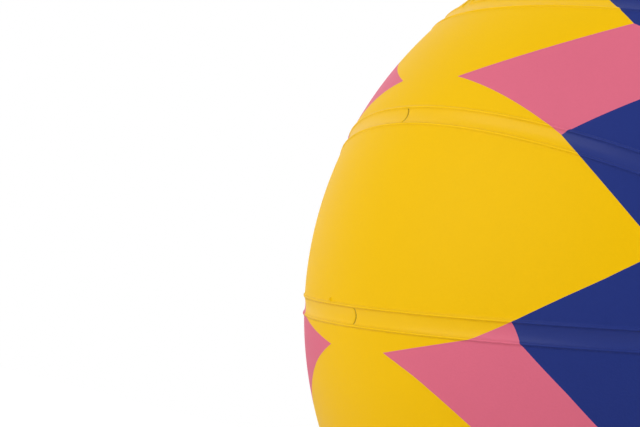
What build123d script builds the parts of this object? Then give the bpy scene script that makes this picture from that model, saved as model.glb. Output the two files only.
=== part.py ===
from build123d import *
import os
from itertools import product
from math import asin, atan2, cos, degrees, hypot, pi, radians, sin, sqrt

# A water polo ball, in millimetres. The origin is the ball's centre, +Z runs up
# through the valve, -Y faces the front and +X the right.

# The ball and the layers of its wall, from the outside in
BALL_RADIUS = 110.0
COVER_THICKNESS = 1.3
WINDING_THICKNESS = 0.5
BLADDER_THICKNESS = 0.65
LAYER_GAP = 0.1

# Moulded seams: angles from a face's centre, then the channel's section
DIVIDER_ANGLE = 14.0
EDGE_ANGLE = 34.5
CHANNEL_WIDTH = 3.9
CHANNEL_FLOOR = 1.9
CHANNEL_DEPTH = 0.3

# Corners of the colour layout on one face: degrees along its strips, then across
TIP = (45.0, 0.0)
SHOULDER = (28.1, 13.6)
WAIST = (7.0, 19.3)
HORN = (27.0, 34.4)
LOZENGE_END = (41.3, 34.0)
CROWN = (0.0, 45.0)
# The colours sit turned by this angle about X against the seams
COLOUR_REGISTER = -1.05

# Valve body, bonded to a patch inside the bladder, its stem reaching the surface
STEM_RADIUS = 6.0
STEM_DEPTH = 21.0
STEM_GAP = 0.1
STEM_TIP_RADIUS = 4.6
STEM_TAPER_LENGTH = 6.0
FLANGE_RADIUS = 15.0
FLANGE_THICKNESS = 1.2
PATCH_RADIUS = 22.0
PATCH_THICKNESS = 0.4

# Valve core, which pulls out of the body, and the bore for the inflating needle
CORE_RECESS = 0.6
CORE_HEAD_RADIUS = 3.6
CORE_HEAD_HEIGHT = 2.0
CORE_SHAFT_RADIUS = 2.7
CORE_SHAFT_LENGTH = 14.0
CORE_CHAMFER = 0.6
CORE_CLEARANCE = 0.2
NEEDLE_RADIUS = 1.0
NEEDLE_BORE_LENGTH = 12.0

# Radii and heights worked out from the sizes above
COVER_INNER = BALL_RADIUS - COVER_THICKNESS
WINDING_OUTER = COVER_INNER - LAYER_GAP
WINDING_INNER = WINDING_OUTER - WINDING_THICKNESS
BLADDER_OUTER = WINDING_INNER - LAYER_GAP
BLADDER_INNER = BLADDER_OUTER - BLADDER_THICKNESS
PATCH_OUTER = BLADDER_INNER - LAYER_GAP
PATCH_INNER = PATCH_OUTER - PATCH_THICKNESS
FLANGE_OUTER = PATCH_INNER - LAYER_GAP
FLANGE_INNER = FLANGE_OUTER - FLANGE_THICKNESS
STEM_HOLE_RADIUS = STEM_RADIUS + STEM_GAP
STEM_FOOT = BALL_RADIUS - STEM_DEPTH
CORE_TOP = BALL_RADIUS - CORE_RECESS
CORE_SEAT = CORE_TOP - CORE_HEAD_HEIGHT
CORE_FOOT = CORE_SEAT - CORE_SHAFT_LENGTH
# Cutters reach this far from the centre, well past the ball
REACH = 1.7 * BALL_RADIUS
CENTRE = Vector(0, 0, 0)

# The ball's main directions, and each face as the places in that list of
# its outward direction, the way its strips run, and the way across them
FRONT, RIGHT, TOP = Vector(0, -1, 0), Vector(1, 0, 0), Vector(0, 0, 1)
DIRECTIONS = (FRONT, RIGHT, TOP)
FACES = ((0, 1, 2), (2, 0, 1), (1, 2, 0))
SIDE_NAMES = {
    (0, -1, 0): "front",
    (0, 1, 0): "back",
    (1, 0, 0): "right",
    (-1, 0, 0): "left",
    (0, 0, 1): "top",
    (0, 0, -1): "bottom",
}


def side_name(direction):
    return SIDE_NAMES[tuple(round(part) for part in direction)]


def hollow_ball(outer, inner):
    return Sphere(outer) - Sphere(inner)


def post(radius, low, high):
    """A round post on the valve's axis between two heights."""
    return Pos(0, 0, (low + high) / 2) * Cylinder(radius, high - low)


def stem_hole():
    return post(STEM_HOLE_RADIUS, 0, REACH)


def edge_plane(out, across):
    """The plane of a face's long edge: its normal and its distance from the centre.

    It holds the edge's middle and the two cube corners at its ends.
    """
    corner = 1 / sqrt(3)
    rise, lift = cos(radians(EDGE_ANGLE)) - corner, corner - sin(radians(EDGE_ANGLE))
    normal = (out * lift + across * rise).normalized()
    return normal, normal.dot(out + across) * corner


def divider_reach(along, middle, out):
    """The angle from a dividing seam's middle to where the next face's long edge stops it."""
    normal, height = edge_plane(along, out)
    rise, lift = normal.dot(along), normal.dot(middle)
    return pi - asin(height / hypot(rise, lift)) - atan2(lift, rise)


def seam_lines():
    """Every seam as the axis that it runs round and its two end directions."""
    lines = []
    tilt = radians(DIVIDER_ANGLE)
    for face in FACES:
        out, along, across = (DIRECTIONS[place] for place in face)
        for flip_out, flip_across in product((1, -1), repeat=2):
            outward, over = out * flip_out, across * flip_across
            normal, _ = edge_plane(outward, over)
            ends = [(outward + over + along * flip).normalized() for flip in (-1, 1)]
            lines.append((normal, *ends))
            middle = outward * cos(tilt) + over * sin(tilt)
            stop = divider_reach(along, middle, outward)
            ends = [middle * cos(stop) + along * (flip * sin(stop)) for flip in (-1, 1)]
            lines.append((over * cos(tilt) - outward * sin(tilt), *ends))
    return lines


def seam_turn(axis, start, end):
    """How far a seam turns about its axis, in degrees."""
    level = start.dot(end) - axis.dot(start) * axis.dot(end)
    return degrees(atan2(axis.dot(start.cross(end)), level))


def seam_channel(axis, start, end):
    """The cutter for the shallow channel along one seam."""
    travel = axis.cross(start).normalized()
    square = Plane(origin=start * BALL_RADIUS, x_dir=start.cross(travel), z_dir=travel)
    brim, floor = CHANNEL_WIDTH / 2, CHANNEL_FLOOR / 2
    # The side slopes carry on above the surface, as far as they go below it
    flare = 2 * brim - floor
    section = make_face(
        Polyline(
            (-flare, CHANNEL_DEPTH),
            (-floor, -CHANNEL_DEPTH),
            (floor, -CHANNEL_DEPTH),
            (flare, CHANNEL_DEPTH),
            close=True,
        )
    )
    return revolve(square * section, Axis(CENTRE, axis), seam_turn(axis, start, end))


def seam_points(axis, start, end, count=40):
    """Directions spaced evenly along a seam."""
    turn = seam_turn(axis, start, end)
    return [start.rotate(Axis(CENTRE, axis), turn * step / count) for step in range(count + 1)]


def layout_corner(angles, out, along, across):
    """The direction of one corner of the colour layout on a face."""
    length, width = radians(angles[0]), radians(angles[1])
    point = along * sin(length) + (out * cos(width) + across * sin(width)) * cos(length)
    return point.rotate(Axis.X, COLOUR_REGISTER)


def yellow_outline(out, along, across):
    """The corners of the notched star in the middle of a face, in order round it."""
    quarter = (TIP, SHOULDER, WAIST, HORN, CROWN)
    ring = []
    for flip_along, flip_across in ((1, 1), (-1, 1), (-1, -1), (1, -1)):
        turn = [layout_corner(a, out, along * flip_along, across * flip_across) for a in quarter]
        if flip_along != flip_across:
            turn.reverse()
        ring += turn[:-1]
    return ring


def cover_outlines():
    """Every cover panel's name, with a direction inside it and its corners in order."""
    outlines = {}
    for face in FACES:
        out, along, across = (DIRECTIONS[place] for place in face)
        for outward in (out, -out):
            middle = layout_corner((0, 0), outward, along, across)
            name = f"cover_yellow_{side_name(outward)}"
            outlines[name] = (middle, yellow_outline(outward, along, across))
    for flips in product((1, -1), repeat=3):
        sides = [direction * flip for direction, flip in zip(DIRECTIONS, flips)]
        star = []
        for face in FACES:
            frame = [sides[place] for place in face]
            waist, shoulder, end, horn = (
                layout_corner(a, *frame) for a in (WAIST, SHOULDER, LOZENGE_END, HORN)
            )
            name = "cover_pink_" + "_".join(side_name(side) for side in frame)
            outlines[name] = ((waist + shoulder + end + horn).normalized(), [waist, shoulder, end, horn])
            star += [layout_corner(TIP, *frame), shoulder, end, horn]
        middle = sum(sides, CENTRE).normalized().rotate(Axis.X, COLOUR_REGISTER)
        outlines["cover_blue_" + "_".join(side_name(side) for side in sides)] = (middle, star)
    return outlines


def wedge(middle, corners):
    """A solid from the ball's centre out through a ring of corner directions."""
    hub = middle * REACH
    ring = [corner * REACH for corner in corners]
    faces = []
    for first, second in zip(ring, ring[1:] + ring[:1]):
        faces.append(Face(Wire.make_polygon([CENTRE, second, first])))
        faces.append(Face(Wire.make_polygon([hub, first, second])))
    return Solid(Shell(faces))


def cover_panel(middle, corners, seams):
    """One colour's piece of the cover, with the channels of the seams that cross it."""
    panel = hollow_ball(BALL_RADIUS, COVER_INNER) & wedge(middle, corners)
    margin = degrees(CHANNEL_WIDTH / BALL_RADIUS)
    spread = max(corner.get_angle(middle) for corner in corners) + margin
    for cutter, points in seams:
        if min(point.get_angle(middle) for point in points) < spread:
            panel -= cutter
    return panel - stem_hole()


def bladder():
    return hollow_ball(BLADDER_OUTER, BLADDER_INNER) - stem_hole()


def winding():
    return hollow_ball(WINDING_OUTER, WINDING_INNER) - stem_hole()


def valve_patch():
    disc = hollow_ball(PATCH_OUTER, PATCH_INNER) & post(PATCH_RADIUS, 0, REACH)
    return disc - stem_hole()


def valve_body():
    """A flange under the patch and a tapered stem, with a stepped pocket for the core."""
    flange = hollow_ball(FLANGE_OUTER, FLANGE_INNER) & post(FLANGE_RADIUS, 0, REACH)
    shoulder = STEM_FOOT + STEM_TAPER_LENGTH
    taper = Pos(0, 0, (STEM_FOOT + shoulder) / 2) * Cone(STEM_TIP_RADIUS, STEM_RADIUS, STEM_TAPER_LENGTH)
    stem = post(STEM_RADIUS, shoulder, REACH) & Sphere(BALL_RADIUS)
    head_pocket = post(CORE_HEAD_RADIUS + CORE_CLEARANCE, CORE_SEAT, REACH)
    shaft_pocket = post(CORE_SHAFT_RADIUS + CORE_CLEARANCE, CORE_FOOT - CORE_CLEARANCE, CORE_SEAT)
    return flange + taper + stem - head_pocket - shaft_pocket


def valve_core():
    """A headed plug with the needle bore down its middle."""
    head = post(CORE_HEAD_RADIUS, CORE_SEAT, CORE_TOP)
    plug = head + post(CORE_SHAFT_RADIUS, CORE_FOOT, CORE_SEAT)
    plug = chamfer(plug.edges().group_by(Axis.Z)[0], CORE_CHAMFER)
    return plug - post(NEEDLE_RADIUS, CORE_TOP - NEEDLE_BORE_LENGTH, CORE_TOP)


def build_pieces():
    """Every piece of the ball by name."""
    pieces = {
        "bladder": bladder(),
        "winding": winding(),
        "valve_patch": valve_patch(),
        "valve_body": valve_body(),
        "valve_core": valve_core(),
    }
    seams = [(seam_channel(*line), seam_points(*line)) for line in seam_lines()]
    for name, (middle, corners) in cover_outlines().items():
        pieces[name] = cover_panel(middle, corners, seams)
    return pieces


os.makedirs("parts", exist_ok=True)
for node, shape in build_pieces().items():
    export_step(shape, f"parts/{node}.step")
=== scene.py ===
from collections import namedtuple
from itertools import product
from math import acos, asin, atan2, cos, hypot, pi, radians, sin, sqrt

import bpy
import numpy as np
from bpy.props import FloatProperty, FloatVectorProperty, PointerProperty
from mathutils import Matrix, Vector
from mathutils.geometry import delaunay_2d_cdt


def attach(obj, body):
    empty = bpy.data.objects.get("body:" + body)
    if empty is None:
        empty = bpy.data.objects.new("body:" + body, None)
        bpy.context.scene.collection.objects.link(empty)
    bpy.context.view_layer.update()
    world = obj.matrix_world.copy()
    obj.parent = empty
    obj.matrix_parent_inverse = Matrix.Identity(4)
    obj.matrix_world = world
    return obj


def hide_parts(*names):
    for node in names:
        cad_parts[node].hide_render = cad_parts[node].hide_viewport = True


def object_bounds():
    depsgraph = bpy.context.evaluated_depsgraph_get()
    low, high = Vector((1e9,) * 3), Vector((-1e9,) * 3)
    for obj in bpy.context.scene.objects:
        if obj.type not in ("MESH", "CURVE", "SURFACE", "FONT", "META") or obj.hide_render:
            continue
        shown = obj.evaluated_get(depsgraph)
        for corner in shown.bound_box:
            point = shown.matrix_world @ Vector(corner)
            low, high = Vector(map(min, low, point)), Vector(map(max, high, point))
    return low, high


bl_info = {
    "name": "Water polo ball",
    "version": (1, 0, 0),
    "blender": (4, 5, 0),
    "location": "3D View > Sidebar > Ball",
    "description": "Dresses the CAD model of a water polo ball with moulded rubber panels",
    "category": "Add Mesh",
}

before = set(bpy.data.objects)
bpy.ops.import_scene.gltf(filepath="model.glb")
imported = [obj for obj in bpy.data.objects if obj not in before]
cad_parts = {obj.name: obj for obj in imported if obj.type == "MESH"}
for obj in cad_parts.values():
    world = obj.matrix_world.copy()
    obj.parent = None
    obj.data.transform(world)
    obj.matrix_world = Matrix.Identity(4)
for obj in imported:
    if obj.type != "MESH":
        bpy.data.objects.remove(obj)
CAD_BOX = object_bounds()
CAD_RADIUS = (CAD_BOX[1].x - CAD_BOX[0].x) / 2

# The ball's main directions, and each face as the places in that list of
# its outward direction, the way its strips run, and the way across them
FRONT, RIGHT, TOP = np.array([0.0, -1.0, 0.0]), np.array([1.0, 0.0, 0.0]), np.array([0.0, 0.0, 1.0])
DIRECTIONS = (FRONT, RIGHT, TOP)
FACES = ((0, 1, 2), (2, 0, 1), (1, 2, 0))
SIDE_NAMES = {
    (0, -1, 0): "front",
    (0, 1, 0): "back",
    (1, 0, 0): "right",
    (-1, 0, 0): "left",
    (0, 0, 1): "top",
    (0, 0, -1): "bottom",
}

# The vent pip's angles along and across the front's strips
PIP_ANGLES = (radians(-7.38), radians(-12.15))
# Ticks lie on seams within this height of the ball's middle, and reach a little past
# the channel, as a share of half its width
TICK_HEIGHT = 0.04
TICK_REACH = 1.05
# Spacing of the points along a seam's middle line
SEAM_LINE_STEP = 0.0005
MILLIMETRE = 0.001

# Where the softboxes hang, as directions from the ball
LIGHTS = {
    "front": (-0.14, -0.97, 0.2),
    "right": (0.86, 0.2, 0.45),
    "top": (-0.1, 0.1, 1),
    "back": (-0.6, 0.75, 0.3),
}


def paint(red, green, blue):
    """A colour read off a screen, 0 to 255, as the linear values that shaders use."""
    shares = [part / 255 for part in (red, green, blue)]
    return tuple(s / 12.92 if s <= 0.04045 else ((s + 0.055) / 1.055) ** 2.4 for s in shares)


def amount(name, description, default, unit="NONE"):
    return FloatProperty(name=name, description=description, default=default, unit=unit)


def length(name, description, default):
    return FloatProperty(name=name, description=description, default=default, unit="LENGTH", precision=5)


def angle(name, description, degrees):
    return FloatProperty(name=name, description=description, default=radians(degrees), subtype="ANGLE")


def colour(name, description, red, green, blue):
    return FloatVectorProperty(
        name=name, description=description, default=paint(red, green, blue), subtype="COLOR", min=0, max=1
    )


def corner(name, description, along, across):
    return FloatVectorProperty(
        name=name,
        description=description + ": angles along and across the face's strips",
        default=(radians(along), radians(across)),
        size=2,
        unit="ROTATION",
    )


class BallSizes(bpy.types.PropertyGroup):
    """Sizes of the cover and its moulded seams"""

    radius: length("Ball radius", "Radius of the cover's plain surface", CAD_RADIUS)
    thickness: length("Cover thickness", "Thickness of the rubber cover", 0.0013)
    divider_angle: angle("Divider angle", "From a face's centre to the seams that divide its strips", 14)
    edge_angle: angle("Edge angle", "From a face's centre to the middle of its long edges", 34.5)
    channel_width: length("Channel width", "Width of the shallow channel along a seam", 0.0039)
    channel_depth: length("Channel depth", "Depth of the channel at its middle", 0.0003)
    bead_spacing: length("Bead spacing", "From a seam's middle line to the bead on each side", 0.00249)
    bead_width: length("Bead width", "Width of a bead at its foot", 0.0011)
    bead_height: length("Bead height", "How far a bead stands up from the surface", 0.00036)
    crest_width: length("Crest width", "Width of the crisp crest that shows along a bead", 0.00085)
    gloss_reach: length("Gloss reach", "How far from a seam its glossier rubber reaches", 0.0034)
    tick_width: length("Tick width", "Width of the mark where the mould's halves meet", 0.0007)
    tick_depth: length("Tick depth", "Depth of that mark", 0.00035)
    tick_bow: length("Tick bow", "How far that mark bows to one side", 0.0006)
    pip_radius: length("Pip radius", "Radius of the pip left by the mould's vent", 0.00055)
    pip_height: length("Pip height", "Height of that pip", 0.0007)
    hole_radius: length("Hole radius", "Radius of the cover's hole for the valve", 0.0061)
    fine_edge: length("Fine mesh edge", "Longest mesh edge on the beads", 0.0004)
    coarse_edge: length("Coarse mesh edge", "Longest mesh edge on plain rubber", 0.003)


class ColourLayout(bpy.types.PropertyGroup):
    """Corners of the colours on one face, and how the colours lie against the seams"""

    tip: corner("Tip", "Point of a yellow panel", 45, 0)
    shoulder: corner("Shoulder", "Where yellow, pink and blue meet", 28.1, 13.6)
    waist: corner("Waist", "Inner end of a pink lozenge", 7, 19.3)
    horn: corner("Horn", "Lozenge corner beside the face's edge", 27, 34.4)
    lozenge_end: corner("Lozenge end", "Outer end of a pink lozenge", 41.3, 34)
    crown: corner("Crown", "Point where two yellow panels meet across an edge", 0, 45)
    shoulder_bow: angle("Shoulder bow", "Bow of a lozenge's edge from waist to shoulder", 0.5)
    horn_bow: angle("Horn bow", "Bow of a lozenge's edge from waist to horn", 1.25)
    register: angle("Register", "Turn of the colours about X against the seams", -1.05)
    stretch: amount("Stretch", "How much one dividing seam of a face draws the colours out", 2)
    stretch_reach: length("Stretch reach", "How far from a seam its pull on the colours fades out", 0.012)


class BallColours(bpy.types.PropertyGroup):
    """Colours of the ball's materials"""

    yellow: colour("Yellow", "Rubber of the six notched stars", 244, 193, 2)
    pink: colour("Pink", "Rubber of the lozenges", 222, 108, 133)
    blue: colour("Blue", "Rubber of the three-armed stars", 36, 52, 124)
    valve: colour("Valve", "Rubber of the valve", 38, 38, 40)
    butyl: colour("Butyl", "Rubber of the bladder and its patch", 30, 29, 28)
    thread: colour("Thread", "Nylon thread of the winding", 214, 208, 192)
    floor: colour("Floor", "Paper under the ball", 240, 240, 240)


class Studio(bpy.types.PropertyGroup):
    """Camera and lights"""

    lens: amount("Lens", "Focal length in millimetres", 101.86, "CAMERA")
    eye: FloatVectorProperty(
        name="Eye",
        description="Place of the camera",
        default=(0.40041, -0.33123, -0.05445),
        subtype="XYZ",
        unit="LENGTH",
    )
    front_power: amount("Front light", "Watts of the light at the ball's front", 4.4, "POWER")
    right_power: amount("Right light", "Watts of the light at the ball's right", 3.8, "POWER")
    top_power: amount("Top light", "Watts of the light above the ball", 1.9, "POWER")
    back_power: amount("Back light", "Watts of the light behind the ball", 3.5, "POWER")
    ambient: amount("Ambient", "Strength of the white surroundings as light", 0.35)


class Wire:
    """One socket of a node tree. Sums of wires and numbers add Math nodes to that tree."""

    def __init__(self, tree, socket=None):
        self.tree, self.socket = tree, socket

    def node(self, kind, settings=None, values=None, output=0):
        """Adds a node, with its settings first and then its sockets' values or links."""
        made = self.tree.nodes.new(kind)
        for name, setting in (settings or {}).items():
            setattr(made, name, setting)
        for key, value in (values or {}).items():
            if isinstance(value, Wire):
                self.tree.links.new(value.socket, made.inputs[key])
            else:
                made.inputs[key].default_value = value
        return Wire(self.tree, made.outputs[output] if made.outputs else None)

    def also(self, output):
        """Another output of the same node."""
        return Wire(self.tree, self.socket.node.outputs[output])

    def math(self, operation, first, second):
        return self.node("ShaderNodeMath", {"operation": operation}, {0: first, 1: second})

    def __add__(self, other):
        return self.math("ADD", self, other)

    __radd__ = __add__

    def __sub__(self, other):
        return self.math("SUBTRACT", self, other)

    def __rsub__(self, other):
        return self.math("SUBTRACT", other, self)

    def __mul__(self, other):
        return self.math("MULTIPLY", self, other)

    __rmul__ = __mul__

    def __truediv__(self, other):
        return self.math("DIVIDE", self, other)

    def __rtruediv__(self, other):
        return self.math("DIVIDE", other, self)

    def at_least(self, other):
        return self.math("MAXIMUM", self, other)

    def below(self, other):
        return self.math("LESS_THAN", self, other)

    def hump(self):
        """1 where this value is 0, curving down to 0 where it reaches 1 or -1."""
        return (1 - self * self).at_least(0)

    def noise(self, scale, detail=2.0):
        """Noise from 0 to 1 over a vector, with this many lumps to the metre."""
        return self.node("ShaderNodeTexNoise", {}, {"Vector": self, "Scale": scale, "Detail": detail})

    def scaled(self, vector):
        """A colour or vector multiplied by this value."""
        return self.node("ShaderNodeVectorMath", {"operation": "SCALE"}, {0: vector, "Scale": self})

    def bump(self, strength, distance):
        """A surface normal bumped by this height."""
        return self.node("ShaderNodeBump", {}, {"Strength": strength, "Distance": distance, "Height": self})


def add_object(name, data):
    """A new object in the scene, with a mesh, a light or a camera as its data."""
    made = bpy.data.objects.new(name, data)
    bpy.context.scene.collection.objects.link(made)
    return made


# The cover's seams and its mesh, worked out on a ball of radius 1


def unit(vectors):
    """Vectors scaled to length 1."""
    return vectors / np.linalg.norm(vectors, axis=-1, keepdims=True)


def side_name(direction):
    """The name of the side that a main direction points to."""
    return SIDE_NAMES[tuple(round(part) for part in direction)]


class Seam:
    """One moulded seam: an arc about an axis through the ball's centre, which may draw the colours out."""

    def __init__(self, axis, start, end, draws=False):
        self.axis, self.ends, self.draws = axis, (start, end), draws
        self.opening = acos(axis @ start)
        level = [unit(tip - axis * (axis @ tip)) for tip in self.ends]
        self.middle = unit(level[0] + level[1])
        self.side = np.cross(axis, self.middle)
        self.half_turn = acos(self.middle @ level[0])

    def beside(self, points):
        """Whether each point lies beside the seam, and not past one of its ends."""
        return np.abs(np.arctan2(points @ self.side, points @ self.middle)) <= self.half_turn

    def off(self, points):
        """How far each point lies off the seam's circle, away from its axis."""
        return np.arccos(np.clip(points @ self.axis, -1, 1)) - self.opening

    def distance(self, points):
        """How far each point lies from the seam or, past its ends, from the nearer end."""
        past = [np.arccos(np.clip(points @ tip, -1, 1)) for tip in self.ends]
        return np.where(self.beside(points), np.abs(self.off(points)), np.minimum(*past))

    def points(self, step):
        """Points along the seam, about a step apart."""
        turns = np.linspace(-self.half_turn, self.half_turn, int(2 * self.half_turn / step) + 2)[:, None]
        level = self.middle * np.cos(turns) + self.side * np.sin(turns)
        return self.axis * cos(self.opening) + level * sin(self.opening)


def edge_plane(sizes, out, across):
    """The plane of a face's long edge, through the edge's middle and the two cube corners at its ends."""
    cube_corner = 1 / sqrt(3)
    rise, lift = cos(sizes.edge_angle) - cube_corner, cube_corner - sin(sizes.edge_angle)
    normal = unit(out * lift + across * rise)
    return normal, normal @ (out + across) * cube_corner


def divider_reach(sizes, along, middle, out):
    """The angle from a dividing seam's middle to where the next face's long edge stops it."""
    normal, height = edge_plane(sizes, along, out)
    rise, lift = normal @ along, normal @ middle
    return pi - asin(height / hypot(rise, lift)) - atan2(lift, rise)


def cover_seams(sizes):
    """The seams along every face's long edges and between its strips."""
    seams = []
    tilt = sizes.divider_angle
    for face in FACES:
        out, along, across = (DIRECTIONS[place] for place in face)
        for flip_out, flip_across in product((1, -1), repeat=2):
            outward, over = out * flip_out, across * flip_across
            normal, _ = edge_plane(sizes, outward, over)
            ends = [unit(outward + over + along * flip) for flip in (-1, 1)]
            seams.append(Seam(normal, *ends))
            middle = outward * cos(tilt) + over * sin(tilt)
            stop = divider_reach(sizes, along, middle, outward)
            ends = [middle * cos(stop) + along * (flip * sin(stop)) for flip in (-1, 1)]
            # Only one of a face's two dividing seams draws the colours out
            seams.append(Seam(over * cos(tilt) - outward * sin(tilt), *ends, draws=flip_across < 0))
    return seams


def nearest_seams(seams, points):
    """The number of each point's nearest seam, the distance to it and the distance to the next one."""
    number = np.zeros(len(points), int)
    first = np.full(len(points), np.inf)
    second = first.copy()
    for place, seam in enumerate(seams):
        distance = seam.distance(points)
        closer = distance < first
        second = np.where(closer, first, np.minimum(second, distance))
        first = np.where(closer, distance, first)
        number[closer] = place
    return number, first, second


def move_off_seams(seams, points, wanted, fade=0.045):
    """Moves points square to a seam that draws the colours out, to the distance that wanted gives."""
    number, first, second = nearest_seams(seams, points)
    moved = points.copy()
    for place, seam in enumerate(seams):
        chosen = np.flatnonzero((number == place) & seam.draws)
        chosen = chosen[seam.beside(points[chosen])]
        own = points[chosen]
        # Near a junction the neighbouring seam holds the colours where they are
        free = np.clip((second - first)[chosen] / fade, 0, 1)
        distance = first[chosen] + free * (wanted(first[chosen]) - first[chosen])
        turn = (seam.opening + np.sign(seam.off(own)) * distance)[:, None]
        level = unit(own - seam.axis * (own @ seam.axis)[:, None])
        moved[chosen] = seam.axis * np.cos(turn) + level * np.sin(turn)
    return moved


class Stretch:
    """How the moulding draws the cover's colours out across a seam, as distances from the seam."""

    def __init__(self, sizes, layout):
        self.bead = sizes.bead_spacing / sizes.radius
        self.factor = layout.stretch
        self.band = self.bead / self.factor
        self.gain = self.bead - self.band
        self.reach = layout.stretch_reach / sizes.radius

    def draw(self, off):
        """The distance that a colour's own distance is drawn out to."""
        pushed = off + self.gain * np.clip(1 - (off - self.band) / self.reach, 0, 1)
        return np.where(off < self.band, off * self.factor, pushed)

    def relax(self, off):
        """The distance that draw turns into this one."""
        pulled = (off - self.gain * (1 + self.band / self.reach)) / (1 - self.gain / self.reach)
        beyond = np.where(off < self.band + self.reach, pulled, off)
        return np.where(off < self.bead, off / self.factor, beyond)


def layout_corner(angles, out, along, across, register):
    """The direction of one corner of the colour layout on a face."""
    run, width = angles
    x, y, z = along * sin(run) + (out * cos(width) + across * sin(width)) * cos(run)
    return np.array([x, y * cos(register) - z * sin(register), y * sin(register) + z * cos(register)])


# A corner's name in the layout, its direction, its lozenge's outer end and whether a seam draws it out
Corner = namedtuple("Corner", "name point lozenge drawn")


class Outline:
    """One panel's corners in order, and how far the edge after each of them is bowed, and which way."""

    def __init__(self, layout, corners):
        bow_sizes = {("shoulder", "waist"): layout.shoulder_bow, ("horn", "waist"): layout.horn_bow}
        self.points = np.array([corner.point for corner in corners])
        self.middle = unit(self.points.sum(axis=0))
        self.bows = []
        for here, there in zip(corners, corners[1:] + corners[:1]):
            inward = unit(np.cross(here.point, there.point))
            inward = inward * np.sign(inward @ here.lozenge)
            names = tuple(sorted((here.name, there.name)))
            # Where a seam draws the colours out, that alone bends the edge to the shoulder
            straight = here.drawn and "shoulder" in names
            self.bows.append(inward * (0 if straight else bow_sizes.get(names, 0)))


def named_corners(layout, names, sides, drawn):
    """Corners on one quarter of a face, with the outer end of that quarter's lozenge."""
    end = layout_corner(layout.lozenge_end, *sides, layout.register)
    places = [layout_corner(getattr(layout, name), *sides, layout.register) for name in names]
    return [Corner(name, place, end, drawn) for name, place in zip(names, places)]


def yellow_corners(layout, out, along, across):
    """The corners of the notched star in the middle of a face, in order round it."""
    ring = []
    for flip_along, flip_across in ((1, 1), (-1, 1), (-1, -1), (1, -1)):
        names = ["tip", "shoulder", "waist", "horn", "crown"]
        if flip_along != flip_across:
            names.reverse()
        sides = (out, along * flip_along, across * flip_across)
        ring += named_corners(layout, names[:-1], sides, drawn=flip_across < 0)
    return ring


def panel_outlines(layout):
    """The outline of every cover panel, by the name of its CAD node."""
    corners = {}
    for face in FACES:
        out, along, across = (DIRECTIONS[place] for place in face)
        for outward in (out, -out):
            corners[f"cover_yellow_{side_name(outward)}"] = yellow_corners(layout, outward, along, across)
    for flips in product((1, -1), repeat=3):
        sides = [direction * flip for direction, flip in zip(DIRECTIONS, flips)]
        star = []
        for face in FACES:
            own = [sides[place] for place in face]
            drawn = flips[face[2]] < 0
            name = "cover_pink_" + "_".join(side_name(side) for side in own)
            corners[name] = named_corners(layout, ("waist", "shoulder", "lozenge_end", "horn"), own, drawn)
            star += named_corners(layout, ("tip", "shoulder", "lozenge_end", "horn"), own, drawn)
        corners["cover_blue_" + "_".join(side_name(side) for side in sides)] = star
    return {name: Outline(layout, ring) for name, ring in corners.items()}


def hole_rim(turn, sides=48):
    """Points round the cover's hole for the valve."""
    steps = np.arange(sides) * 2 * pi / sides
    return np.stack([np.cos(steps) * sin(turn), np.sin(steps) * sin(turn), np.full(sides, cos(turn))], axis=1)


def divided(ring, bows, step):
    """A ring of points with more points along the edges between them, about a step apart."""
    points = []
    for here, there, bow in zip(ring, np.roll(ring, -1, axis=0), bows):
        count = max(1, round(np.linalg.norm(here - there) / step))
        shares = np.arange(count)[:, None] / count
        points.append(unit(here * (1 - shares) + there * shares + 4 * shares * (1 - shares) * bow))
    return np.concatenate(points)


def inside_grid(flat, step):
    """Grid points over a flat outline, none of them close to it."""
    low, high = flat.min(axis=0), flat.max(axis=0)
    across, up = (np.arange(low[axis], high[axis], step) for axis in (0, 1))
    grid = np.stack(np.meshgrid(across, up), axis=-1)
    grid[::2, :, 0] += step / 2
    grid = grid.reshape(-1, 2)
    gaps = np.linalg.norm(grid[:, None] - flat[None], axis=2).min(axis=1)
    least_gap = 0.7 * step
    return grid[gaps > least_gap]


def filled(rings, links, middle, step):
    """Triangles inside an outline, found on a flat sheet at its middle as seen from the ball's centre."""
    level = unit(np.cross(middle, rings[0]))
    sheet = np.stack([level, np.cross(middle, level)])
    flat = rings @ sheet.T / (rings @ middle)[:, None]
    grid = inside_grid(flat, step)
    spots = [Vector(spot) for spot in np.concatenate([flat, grid])]
    # Kind 1 keeps the triangles inside the outer ring, also those over a hole
    kind, same_spot = 1, 1e-9
    triangles, sources = delaunay_2d_cdt(spots, links, [], kind, same_spot)[2:4]
    points = np.concatenate([rings, unit(middle + grid @ sheet)])
    return [[points[sources[spot][0]] for spot in triangle] for triangle in triangles]


def first_triangles(outlines, hole_turn, relaxed, step=0.05):
    """Even triangles that fill every panel's outline, with the valve's hole left open in the top one."""
    points, faces, owner, places = [], [], [], {}

    def place_of(point):
        key = tuple(np.round(point, 7))
        if key not in places:
            places[key] = len(points)
            points.append(point)
        return places[key]

    for number, (name, outline) in enumerate(outlines.items()):
        loops = [divided(relaxed(outline.points), outline.bows, step)]
        if name == "cover_yellow_top":
            loops.append(hole_rim(hole_turn))
        rings = np.concatenate(loops)
        links = []
        for loop in loops:
            first = len(links)
            links += [(first + here, first + (here + 1) % len(loop)) for here in range(len(loop))]
        for own in filled(rings, links, outline.middle, step):
            # The valve's hole stays open
            if unit(sum(own))[2] > cos(hole_turn):
                continue
            if np.linalg.det(own) < 0:
                own.reverse()
            faces.append([place_of(point) for point in own])
            owner.append(number)
    return np.array(points), np.array(faces), np.array(owner)


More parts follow.
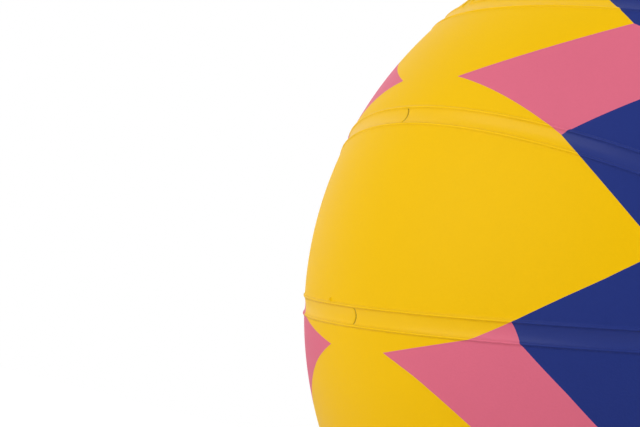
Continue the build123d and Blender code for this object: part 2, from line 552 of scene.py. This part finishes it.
def edge_table(faces, owner):
    """Every edge once, the edges of each face, and which edges are on a panel's border."""
    pairs = np.sort(faces[:, [[0, 1], [1, 2], [2, 0]]].reshape(-1, 2), axis=1)
    span = faces.max() + 1
    keys, place = np.unique(pairs[:, 0] * span + pairs[:, 1], return_inverse=True)
    place = place.reshape(-1)
    sides = np.repeat(owner, 3)
    last = np.zeros(len(keys), int)
    last[place] = sides
    border = np.bincount(place) == 1
    border[place[sides != last[place]]] = True
    return np.stack([keys // span, keys % span], axis=1), place.reshape(-1, 3), border


def refine(points, faces, owner, limit, plain=None):
    """Splits edges that are longer than limit allows; plain, if given, is the limit inside the panels."""
    while True:
        edges, place, border = edge_table(faces, owner)
        ends = points[edges]
        middles = unit(ends.sum(axis=1))
        lengths = np.linalg.norm(ends[:, 0] - ends[:, 1], axis=1)
        allowed = limit(middles, lengths)
        if plain is not None:
            allowed[~border] = plain
        split = lengths > allowed
        if not split.any():
            return points, faces, owner
        fresh = np.full(len(edges), -1)
        fresh[split] = len(points) + np.arange(split.sum())
        points = np.concatenate([points, middles[split]])
        cut = fresh[place]
        count = (cut >= 0).sum(axis=1)
        # Each face is turned so that its split edges come first
        shift = np.where(count == 2, (cut >= 0).argmin(axis=1) + 1, (cut >= 0).argmax(axis=1))
        order = (shift[:, None] + np.arange(3)) % 3
        # Its corners are a, b and c, and the new points between them p from a to b, r to c and q back to a
        a, b, c = np.take_along_axis(faces, order, axis=1).T
        p, r, q = np.take_along_axis(cut, order, axis=1).T
        slant = np.linalg.norm(points[a] - points[r], axis=1) < np.linalg.norm(points[p] - points[c], axis=1)
        parts = (
            (count == 0, (a, b, c)),
            (count == 1, (a, p, c)),
            (count == 1, (p, b, c)),
            (count >= 2, (p, b, r)),
            ((count == 2) & slant, (a, p, r)),
            ((count == 2) & slant, (a, r, c)),
            ((count == 2) & ~slant, (a, p, c)),
            ((count == 2) & ~slant, (p, r, c)),
            (count == 3, (a, p, q)),
            (count == 3, (p, r, q)),
            (count == 3, (q, r, c)),
        )
        faces = np.concatenate([np.stack([tip[kept] for tip in tips], axis=1) for kept, tips in parts])
        owner = np.concatenate([owner[kept] for kept, _ in parts])


def mesh_limits(sizes, seams):
    """The longest edge that the mesh may have at each place, before and after the colours are drawn out."""
    radius = sizes.radius
    fine, coarse = sizes.fine_edge / radius, sizes.coarse_edge / radius
    spacing, bead = sizes.bead_spacing / radius, sizes.bead_width / radius
    tick = sizes.tick_width / radius
    pip, pip_reach = vent_pip(), 2 * sizes.pip_radius / radius
    bead_reach, tick_reach = 0.6 * bead, 3 * tick
    # How much longer an edge may be for each step away from the seams, and from the beads
    colour_growth, bead_growth = 0.5, 0.6

    def along_colours(middles, lengths):
        _, distance, _ = nearest_seams(seams, middles)
        return np.clip(colour_growth * (distance - spacing - lengths / 2), 2 * fine, coarse)

    def along_beads(middles, lengths):
        _, distance, _ = nearest_seams(seams, middles)
        away = np.abs(distance - spacing) - bead_reach - lengths / 2
        allowed = np.clip(fine + bead_growth * away, fine, coarse)
        at_tick = (np.abs(middles[:, 0]) < tick_reach + lengths / 2) & (distance < spacing)
        at_pip = np.linalg.norm(middles - pip, axis=1) < pip_reach + lengths / 2
        allowed[at_tick | at_pip] = tick / 2
        return allowed

    return along_colours, along_beads


def vent_pip():
    """The direction of the small pip beside the front's lower dividing seam."""
    run, width = PIP_ANGLES
    return RIGHT * sin(run) + (FRONT * cos(width) + TOP * sin(width)) * cos(run)


def cover_skin(sizes, layout, seams, outlines, plain=None):
    """Points, faces and panel numbers of one skin of the cover, all panels together."""
    stretch = Stretch(sizes, layout)
    along_colours, along_beads = mesh_limits(sizes, seams)
    hole_turn = asin(sizes.hole_radius / sizes.radius)
    skin = first_triangles(outlines, hole_turn, lambda ring: move_off_seams(seams, ring, stretch.relax))
    points, faces, owner = refine(*skin, along_colours, plain)
    points = move_off_seams(seams, points, stretch.draw)
    return refine(points, faces, owner, along_beads, plain)


def panel_skin(skin, number):
    """One panel's own points, faces and border edges, in the faces' own order round it."""
    points, faces, owner = skin
    used, local = np.unique(faces[owner == number], return_inverse=True)
    local = local.reshape(-1, 3)
    rounds = local[:, [[0, 1], [1, 2], [2, 0]]].reshape(-1, 2)
    span = len(used)
    keys = rounds[:, 0] * span + rounds[:, 1]
    back = rounds[:, 1] * span + rounds[:, 0]
    return points[used], local, rounds[~np.isin(keys, back)]


def panel_mesh(name, number, outer, inner, sizes):
    """One panel as a closed sheet: its outer skin, its inner skin and the edge between them."""
    points, faces, border = panel_skin(outer, number)
    under, under_faces, under_border = panel_skin(inner, number)
    rims = []
    for own, edges in ((points, border), (under, under_border)):
        rim = np.unique(edges)
        rims.append(rim[np.lexsort(np.round(own[rim], 9).T)])
    below = np.zeros(len(points), int)
    below[rims[0]] = rims[1] + len(points)
    first, second = border.T
    wall = np.stack([second, first, below[first], below[second]], axis=1)
    corners = np.concatenate([points * sizes.radius, under * (sizes.radius - sizes.thickness)])
    polygons = faces.tolist() + (under_faces[:, ::-1] + len(points)).tolist() + wall.tolist()
    mesh = bpy.data.meshes.new(name)
    mesh.from_pydata(corners.tolist(), [], polygons)
    mesh.polygons.foreach_set("use_smooth", np.ones(len(polygons), bool))
    skin = mesh.attributes.new("outer_skin", "FLOAT", "POINT")
    skin.data.foreach_set("value", (np.arange(len(corners)) < len(points)).astype(np.float32))
    ends = np.zeros(2 * len(mesh.edges), int)
    mesh.edges.foreach_get("vertices", ends)
    creases = np.sort(np.concatenate([border, under_border + len(points)]), axis=1)
    edges = np.sort(ends.reshape(-1, 2), axis=1)
    sharp = np.isin(edges @ (len(corners), 1), creases @ (len(corners), 1))
    mesh.edges.foreach_set("use_edge_sharp", sharp)
    return mesh


def seam_line_object(seams, sizes):
    """A helper object with every seam's middle line, for the relief to measure from."""
    step = SEAM_LINE_STEP / sizes.radius
    points, edges = [], []
    for seam in seams:
        line = seam.points(step) * sizes.radius
        edges += [(len(points) + here, len(points) + here + 1) for here in range(len(line) - 1)]
        points += line.tolist()
    mesh = bpy.data.meshes.new("seam_lines")
    mesh.from_pydata(points, edges, [])
    return add_object("seam_lines", mesh)


RELIEF_SIZES = (
    ("Channel width", "channel_width"),
    ("Channel depth", "channel_depth"),
    ("Bead spacing", "bead_spacing"),
    ("Bead width", "bead_width"),
    ("Bead height", "bead_height"),
    ("Tick width", "tick_width"),
    ("Tick depth", "tick_depth"),
    ("Tick bow", "tick_bow"),
    ("Pip radius", "pip_radius"),
    ("Pip height", "pip_height"),
)


def tick_shape(start, place, from_middle, width, bow):
    """1 along the bowed tick that the mould leaves at x = 0 across a dividing seam, and 0 beside it."""
    across = start.node("ShaderNodeSeparateXYZ", {}, {0: place}, "X")
    height = across.also("Z")
    bowed = across - from_middle.hump() * bow
    at_seam = from_middle.below(TICK_REACH) * (height * height).below(TICK_HEIGHT**2)
    return (2 * bowed / width).hump() * at_seam


def relief_tree():
    """Geometry nodes that raise the beads and press the channels, ticks and pip into a panel's outer skin."""
    tree = bpy.data.node_groups.new("Moulded relief", "GeometryNodeTree")
    tree.interface.new_socket("Geometry", in_out="OUTPUT", socket_type="NodeSocketGeometry")
    kinds = {"Geometry": "Geometry", "Seam lines": "Object", "Material": "Material", "Pip place": "Vector"}
    kinds.update({label: "Float" for label, _ in RELIEF_SIZES})
    for label, kind in kinds.items():
        tree.interface.new_socket(label, in_out="INPUT", socket_type=f"NodeSocket{kind}")
    start = Wire(tree)
    given = start.node("NodeGroupInput")
    place = start.node("GeometryNodeInputPosition")
    lines = start.node("GeometryNodeObjectInfo", {}, {"Object": given.also("Seam lines")}, "Geometry")
    nearest = {"Geometry": lines, "Sample Position": place}
    distance = start.node("GeometryNodeProximity", {"target_element": "EDGES"}, nearest, "Distance")

    # Beads swell and thin a little along their length
    swell = 0.75 + 0.5 * place.noise(90.0)
    from_bead = 2 * (distance - given.also("Bead spacing")) / given.also("Bead width")
    bead = from_bead.hump() * swell * given.also("Bead height")
    from_middle = 2 * distance / given.also("Channel width")
    channel = from_middle.hump() * given.also("Channel depth")

    tick = tick_shape(start, place, from_middle, given.also("Tick width"), given.also("Tick bow"))
    tick = tick * given.also("Tick depth")

    pip_ends = {0: place, 1: given.also("Pip place")}
    from_pip = start.node("ShaderNodeVectorMath", {"operation": "DISTANCE"}, pip_ends, "Value")
    pip = (from_pip / given.also("Pip radius")).hump() * given.also("Pip height")

    skin = start.node("GeometryNodeInputNamedAttribute", {"data_type": "FLOAT"}, {"Name": "outer_skin"})
    height = (bead - channel - tick + pip) * skin
    outward = start.node("ShaderNodeVectorMath", {"operation": "NORMALIZE"}, {0: place})
    moved = {"Geometry": given.also("Geometry"), "Offset": height.scaled(outward)}
    shape = start.node("GeometryNodeSetPosition", {}, moved)
    kept = {"Geometry": shape, "Name": "seam_distance", "Value": distance}
    shape = start.node("GeometryNodeStoreNamedAttribute", {"data_type": "FLOAT", "domain": "POINT"}, kept)
    shape = start.node("GeometryNodeRealizeInstances", {}, {"Geometry": shape})
    shape = start.node("GeometryNodeSetMaterial", {}, {"Geometry": shape, "Material": given.also("Material")})
    start.node("NodeGroupOutput", {}, {"Geometry": shape})
    return tree


def add_relief(piece, tree, lines, material, sizes):
    """Puts the relief tree on a panel and sets its inputs."""
    modifier = piece.modifiers.new("Relief", "NODES")
    modifier.node_group = tree
    inputs = [item for item in tree.interface.items_tree if item.in_out == "INPUT"]
    sockets = {item.name: item.identifier for item in inputs}
    modifier[sockets["Seam lines"]] = lines
    modifier[sockets["Material"]] = material
    modifier[sockets["Pip place"]] = (vent_pip() * sizes.radius).tolist()
    for label, field in RELIEF_SIZES:
        modifier[sockets[label]] = getattr(sizes, field)


def keep_result(piece):
    """Replaces a piece's mesh with the result of its modifiers, and removes them."""
    depsgraph = bpy.context.evaluated_depsgraph_get()
    result = bpy.data.meshes.new_from_object(
        piece.evaluated_get(depsgraph), preserve_all_data_layers=True, depsgraph=depsgraph
    )
    piece.modifiers.clear()
    old = piece.data
    piece.data = result
    bpy.data.meshes.remove(old)
    result.name = piece.name


# Materials


def new_material(name):
    material = bpy.data.materials.new(name)
    material.use_nodes = True
    material.node_tree.nodes.clear()
    return material, Wire(material.node_tree)


def finish_surface(start, shader):
    start.node("ShaderNodeOutputMaterial", {}, {"Surface": shader})


def cover_rubber(name, tint, sizes):
    """Moulded coloured rubber: a fine pebble grain, a slow drift of tone, crisp beads with a painted
    highlight on their crests, and ticks darkened by painted shade.
    """
    material, start = new_material(name)
    place = start.node("ShaderNodeTexCoord", output="Object")
    drift = place.noise(26.0, 3.0) - 0.5
    grain = place.noise(1500.0, 1.0) - 0.5
    cells = start.node("ShaderNodeTexVoronoi", {}, {"Vector": place, "Scale": 1900.0}, "Distance")
    distance = start.node("ShaderNodeAttribute", {"attribute_name": "seam_distance"}, output="Fac")
    from_middle = 2 * distance / sizes.channel_width
    # The tick darkens the colour below. This is painted shade in the tick's groove.
    tick = tick_shape(start, place, from_middle, sizes.tick_width, sizes.tick_bow)
    # The crest lightens the colour below, a painted highlight along each bead, and also raises the bump
    crest = (2 * (distance - sizes.bead_spacing) / sizes.crest_width).hump()
    tone = 1 + 0.05 * drift + 0.03 * grain + 0.06 * crest - 0.7 * tick
    roughness = 0.47 + 0.1 * drift + 0.12 * grain
    # The mould leaves the seams glossier than the panels
    gloss = 0.2 * (distance / sizes.gloss_reach).hump()
    # Heights in millimetres
    cell_height, grain_height, crest_height = 0.015, 0.022, 0.18
    height = cell_height * cells + grain_height * grain + crest_height * crest
    shader = start.node(
        "ShaderNodeBsdfPrincipled",
        {},
        {
            "Base Color": tone.scaled(tint),
            "Roughness": roughness,
            "Normal": height.bump(1.0, MILLIMETRE),
            "Specular IOR Level": 0.06,
            "Coat Weight": gloss,
            "Coat Roughness": 0.28,
        },
    )
    finish_surface(start, shader)
    return material


def soft_black_rubber(name, tint, roughness):
    """Dark rubber with a fine grain and a slightly dusty, uneven sheen."""
    material, start = new_material(name)
    place = start.node("ShaderNodeTexCoord", output="Object")
    dust = place.noise(420.0, 4.0)
    grain = place.noise(3200.0, 1.0)
    normal = grain.bump(0.2, 0.1 * MILLIMETRE)
    tone = 0.8 + 0.5 * dust
    shader = start.node(
        "ShaderNodeBsdfPrincipled",
        {},
        {"Base Color": tone.scaled(tint), "Roughness": roughness - 0.15 + 0.3 * dust, "Normal": normal},
    )
    finish_surface(start, shader)
    return material


def wound_thread(name, tint):
    """Nylon thread laid over and over in crossing directions."""
    material, start = new_material(name)
    place = start.node("ShaderNodeTexCoord", output="Object")
    height = 0.0
    for turn in ((0.3, 0.9, 0.0), (1.2, -0.4, 0.7), (-0.8, 0.5, 1.6)):
        turned = start.node("ShaderNodeMapping", {}, {"Vector": place, "Rotation": turn})
        settings = {"wave_type": "BANDS", "wave_profile": "SIN"}
        values = {"Vector": turned, "Scale": 260.0, "Distortion": 1.5, "Detail Scale": 0.4}
        height = start.node("ShaderNodeTexWave", settings, values, "Fac").at_least(height)
    tone = 0.55 + 0.45 * height
    normal = height.bump(0.5, 0.2 * MILLIMETRE)
    shader = start.node(
        "ShaderNodeBsdfPrincipled",
        {},
        {"Base Color": tone.scaled(tint), "Roughness": 0.75 - 0.2 * height, "Normal": normal},
    )
    finish_surface(start, shader)
    return material


def white_paper(name, tint):
    """Pale floor that takes the ball's shadow and, for the camera, is lifted to white away from the ball."""
    material, start = new_material(name)
    place = start.node("ShaderNodeTexCoord", output="Object")
    tone = 0.99 + 0.02 * place.noise(900.0, 2.0)
    paper = start.node("ShaderNodeBsdfDiffuse", {}, {"Color": tone.scaled(tint)})
    away = start.node("ShaderNodeVectorMath", {"operation": "LENGTH"}, {0: place}, "Value")
    glow_gain, glow_start, least_glow = 2.2, 0.2, 0.05
    glow = (glow_gain * away - glow_start).at_least(least_glow)
    seen = start.node("ShaderNodeLightPath", output="Is Camera Ray")
    lift = start.node("ShaderNodeEmission", {}, {"Strength": seen * glow})
    finish_surface(start, start.node("ShaderNodeAddShader", {}, {0: paper, 1: lift}))
    return material


# The valve, turned about the ball's Z axis


def turned_piece(name, profile, material, steps=96):
    """A round piece from a closed outline of radius and height, with its edges softened."""
    turns = np.arange(steps) * 2 * pi / steps
    points, faces = [], []
    for radius, height in profile:
        points += [(radius * cos(t), radius * sin(t), height) for t in turns]
    for row in range(len(profile) - 1):
        for step in range(steps):
            here, there = row * steps + step, row * steps + (step + 1) % steps
            faces.append((here, there, there + steps, here + steps))
    mesh = bpy.data.meshes.new(name)
    mesh.from_pydata(points, [], faces)
    piece = add_object(name, mesh)
    weld = piece.modifiers.new("Weld", "WELD")
    weld.merge_threshold = 1e-6
    bevel = piece.modifiers.new("Bevel", "BEVEL")
    bevel.width = 0.00025
    bevel.segments = 3
    bevel.limit_method = "ANGLE"
    bevel.angle_limit = radians(25)
    mesh.materials.append(material)
    keep_result(piece)
    piece.data.polygons.foreach_set("use_smooth", np.ones(len(piece.data.polygons), bool))
    piece.data.set_sharp_from_angle(angle=radians(40))
    return piece


# The building steps


class BALL_OT_cover(bpy.types.Operator):
    """Build the rubber cover's panels, with the moulded seams running over them"""

    bl_idname = "water_polo.cover"
    bl_label = "Cover panels"

    def execute(self, context):
        sizes, layout = context.scene.ball_sizes, context.scene.ball_layout
        seams = cover_seams(sizes)
        outlines = panel_outlines(layout)
        outer = cover_skin(sizes, layout, seams, outlines)
        inner_edge = 6 * sizes.coarse_edge / sizes.radius
        inner = cover_skin(sizes, layout, seams, outlines, plain=inner_edge)
        lines = seam_line_object(seams, sizes)
        tree = relief_tree()
        materials = {}
        for tint in ("yellow", "pink", "blue"):
            shade = tuple(getattr(context.scene.ball_colours, tint))
            materials[tint] = cover_rubber(f"{tint}_rubber", shade, sizes)
        pieces = {}
        for number, node in enumerate(outlines):
            name = node.removeprefix("cover_")
            piece = add_object(name, panel_mesh(name, number, outer, inner, sizes))
            add_relief(piece, tree, lines, materials[name.split("_")[0]], sizes)
            pieces[node] = piece
        for node, piece in pieces.items():
            keep_result(piece)
            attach(piece, "ball")
            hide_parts(node)
        bpy.data.objects.remove(lines)
        return {"FINISHED"}


class BALL_OT_valve_body(bpy.types.Operator):
    """Build the valve body, with its flange inside the bladder and its rim at the cover's surface"""

    bl_idname = "water_polo.valve_body"
    bl_label = "Valve body"

    def execute(self, context):
        material = soft_black_rubber("valve_rubber", tuple(context.scene.ball_colours.valve), 0.5)
        top = context.scene.ball_sizes.radius
        # Radii from the valve's axis
        stem, tip, flange, lip, mouth, shaft = 0.006, 0.0046, 0.015, 0.0049, 0.0038, 0.0029
        # Heights, those of the flange as radii from the ball's middle
        foot, shoulder, seat, floor = top - 0.021, top - 0.015, top - 0.0026, top - 0.0168
        flange_top, flange_under = top - 0.00325, top - 0.00445
        rim_drop, mouth_drop = 0.00015, 0.0001

        def dome(height, radius):
            """A height on a round surface, at this radius from the valve's axis."""
            return sqrt(height * height - radius * radius)

        spread = np.linspace(stem, flange, 8)
        profile = [(0, foot), (tip, foot), (stem, shoulder)]
        profile += [(radius, dome(flange_under, radius)) for radius in spread]
        profile += [(radius, dome(flange_top, radius)) for radius in spread[::-1]]
        profile += [(stem, dome(top, stem) - rim_drop), (lip, dome(top, lip))]
        profile += [(mouth, dome(top, mouth) - mouth_drop), (mouth, seat)]
        profile += [(shaft, seat), (shaft, floor), (0, floor)]
        piece = turned_piece("valve_sleeve", profile, material)
        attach(piece, "ball")
        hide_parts("valve_body")
        return {"FINISHED"}


class BALL_OT_valve_core(bpy.types.Operator):
    """Build the valve core, the plug with the needle's bore"""

    bl_idname = "water_polo.valve_core"
    bl_label = "Valve core"

    def execute(self, context):
        material = soft_black_rubber("core_rubber", tuple(context.scene.ball_colours.valve), 0.42)
        sunk = 0.0006
        top = context.scene.ball_sizes.radius - sunk
        # Radii from the core's axis
        head, crown, shaft, funnel, needle = 0.0036, 0.0026, 0.0027, 0.0017, 0.001
        # Heights of the head and the shaft, and of the needle's bore
        head_edge, seat, foot = top - 0.0001, top - 0.002, top - 0.016
        bottom, needle_top, funnel_top = top - 0.012, top - 0.0008, top - 0.0002
        grooves = (top - 0.005, top - 0.008, top - 0.011)
        groove_depth, groove_floor, groove_width, bevel = 0.0003, 0.0007, 0.001, 0.0006
        profile = [(0, bottom), (needle, bottom), (needle, needle_top), (funnel, funnel_top)]
        profile += [(crown, top), (head, head_edge), (head, seat), (shaft, seat)]
        waist = shaft - groove_depth
        for groove in grooves:
            profile += [(shaft, groove), (waist, groove - groove_depth)]
            profile += [(waist, groove - groove_floor), (shaft, groove - groove_width)]
        profile += [(shaft, foot + bevel), (shaft - bevel, foot), (0, foot)]
        piece = turned_piece("valve_plug", profile[::-1], material)
        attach(piece, "valve_core")
        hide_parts("valve_core")
        return {"FINISHED"}


class BALL_OT_inner_layers(bpy.types.Operator):
    """Finish the layers under the cover: the bladder, its patch and the thread wound over them"""

    bl_idname = "water_polo.inner_layers"
    bl_label = "Inner layers"

    def execute(self, context):
        colours = context.scene.ball_colours
        butyl = soft_black_rubber("butyl_rubber", tuple(colours.butyl), 0.6)
        thread = wound_thread("nylon_thread", tuple(colours.thread))
        for node, material in (("bladder", butyl), ("valve_patch", butyl), ("winding", thread)):
            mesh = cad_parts[node].data
            mesh.materials.clear()
            mesh.materials.append(material)
        return {"FINISHED"}


class BALL_OT_stage(bpy.types.Operator):
    """Set up the floor, the lights, the white surroundings and the camera"""

    bl_idname = "water_polo.stage"
    bl_label = "Stage"

    def execute(self, context):
        scene = context.scene
        self.lay_floor(scene)
        self.set_camera(scene)
        for side, direction in LIGHTS.items():
            self.hang_light(scene.ball_studio, side, Vector(direction).normalized())
        self.light_surroundings(scene)
        scene.view_settings.view_transform = "Standard"
        return {"FINISHED"}

    def lay_floor(self, scene, size=6.0):
        level = -scene.ball_sizes.radius
        half = size / 2
        mesh = bpy.data.meshes.new("floor")
        corners = [(x * half, y * half, level) for x, y in ((-1, -1), (1, -1), (1, 1), (-1, 1))]
        mesh.from_pydata(corners, [], [(0, 1, 2, 3)])
        mesh.materials.append(white_paper("floor_paper", tuple(scene.ball_colours.floor)))
        floor = add_object("floor", mesh)

    def set_camera(self, scene):
        """A long lens that sees the ball from its right front, a little below its middle."""
        studio = scene.ball_studio
        camera = add_object("camera", bpy.data.cameras.new("camera"))
        camera.data.lens = studio.lens
        camera.data.sensor_width = 36
        camera.data.clip_start = 0.01
        # The camera's own axes
        right, up, back = (0.4705, 0.8462, 0.25), (-0.0209, -0.2726, 0.9619), (0.8821, -0.4578, -0.1106)
        turned = Matrix((right, up, back)).transposed().to_4x4()
        camera.matrix_world = Matrix.Translation(studio.eye) @ turned
        scene.camera = camera

    def hang_light(self, studio, side, toward, distance=0.9, size=0.8):
        """A softbox that faces the ball. Only the front one shows in reflections."""
        light = bpy.data.lights.new(f"{side}_softbox", "AREA")
        light.energy = getattr(studio, f"{side}_power")
        light.size = size
        lamp = add_object(light.name, light)
        lamp.location = toward * distance
        lamp.rotation_euler = toward.to_track_quat("Z", "Y").to_euler()
        lamp.visible_camera = False
        lamp.visible_glossy = side == "front"

    def light_surroundings(self, scene):
        """White where it is seen or reflected, and gentler as light on the ball."""
        world = bpy.data.worlds.new("surroundings")
        world.use_nodes = True
        world.node_tree.nodes.clear()
        start = Wire(world.node_tree)
        path = start.node("ShaderNodeLightPath", output="Is Camera Ray")
        seen = path.at_least(path.also("Is Glossy Ray")).at_least(path.also("Is Transmission Ray"))
        white = {"Color": (1, 1, 1, 1), "Strength": seen.at_least(scene.ball_studio.ambient)}
        start.node("ShaderNodeOutputWorld", {}, {"Surface": start.node("ShaderNodeBackground", {}, white)})
        scene.world = world


OPERATORS = (BALL_OT_cover, BALL_OT_valve_body, BALL_OT_valve_core, BALL_OT_inner_layers, BALL_OT_stage)


class BALL_PT_panel(bpy.types.Panel):
    """Lists the ball's sizes, colours and building steps"""

    bl_idname = "BALL_PT_panel"
    bl_label = "Water polo ball"
    bl_space_type = "VIEW_3D"
    bl_region_type = "UI"
    bl_category = "Ball"

    def draw(self, context):
        for step in OPERATORS:
            self.layout.operator(step.bl_idname)
        for group in GROUPS:
            box = self.layout.box()
            box.label(text=group)
            settings = getattr(context.scene, group)
            for field in settings.bl_rna.properties:
                if field.identifier not in ("rna_type", "name"):
                    box.prop(settings, field.identifier)


GROUPS = {
    "ball_sizes": BallSizes,
    "ball_layout": ColourLayout,
    "ball_colours": BallColours,
    "ball_studio": Studio,
}
CLASSES = (*GROUPS.values(), *OPERATORS, BALL_PT_panel)


def register():
    for cls in CLASSES:
        bpy.utils.register_class(cls)
    for group, cls in GROUPS.items():
        setattr(bpy.types.Scene, group, PointerProperty(type=cls))


def unregister():
    for group in GROUPS:
        delattr(bpy.types.Scene, group)
    for cls in reversed(CLASSES):
        bpy.utils.unregister_class(cls)


def main():
    register()
    for step in OPERATORS:
        family, name = step.bl_idname.split(".")
        getattr(getattr(bpy.ops, family), name)()


if __name__ == "__main__":
    main()
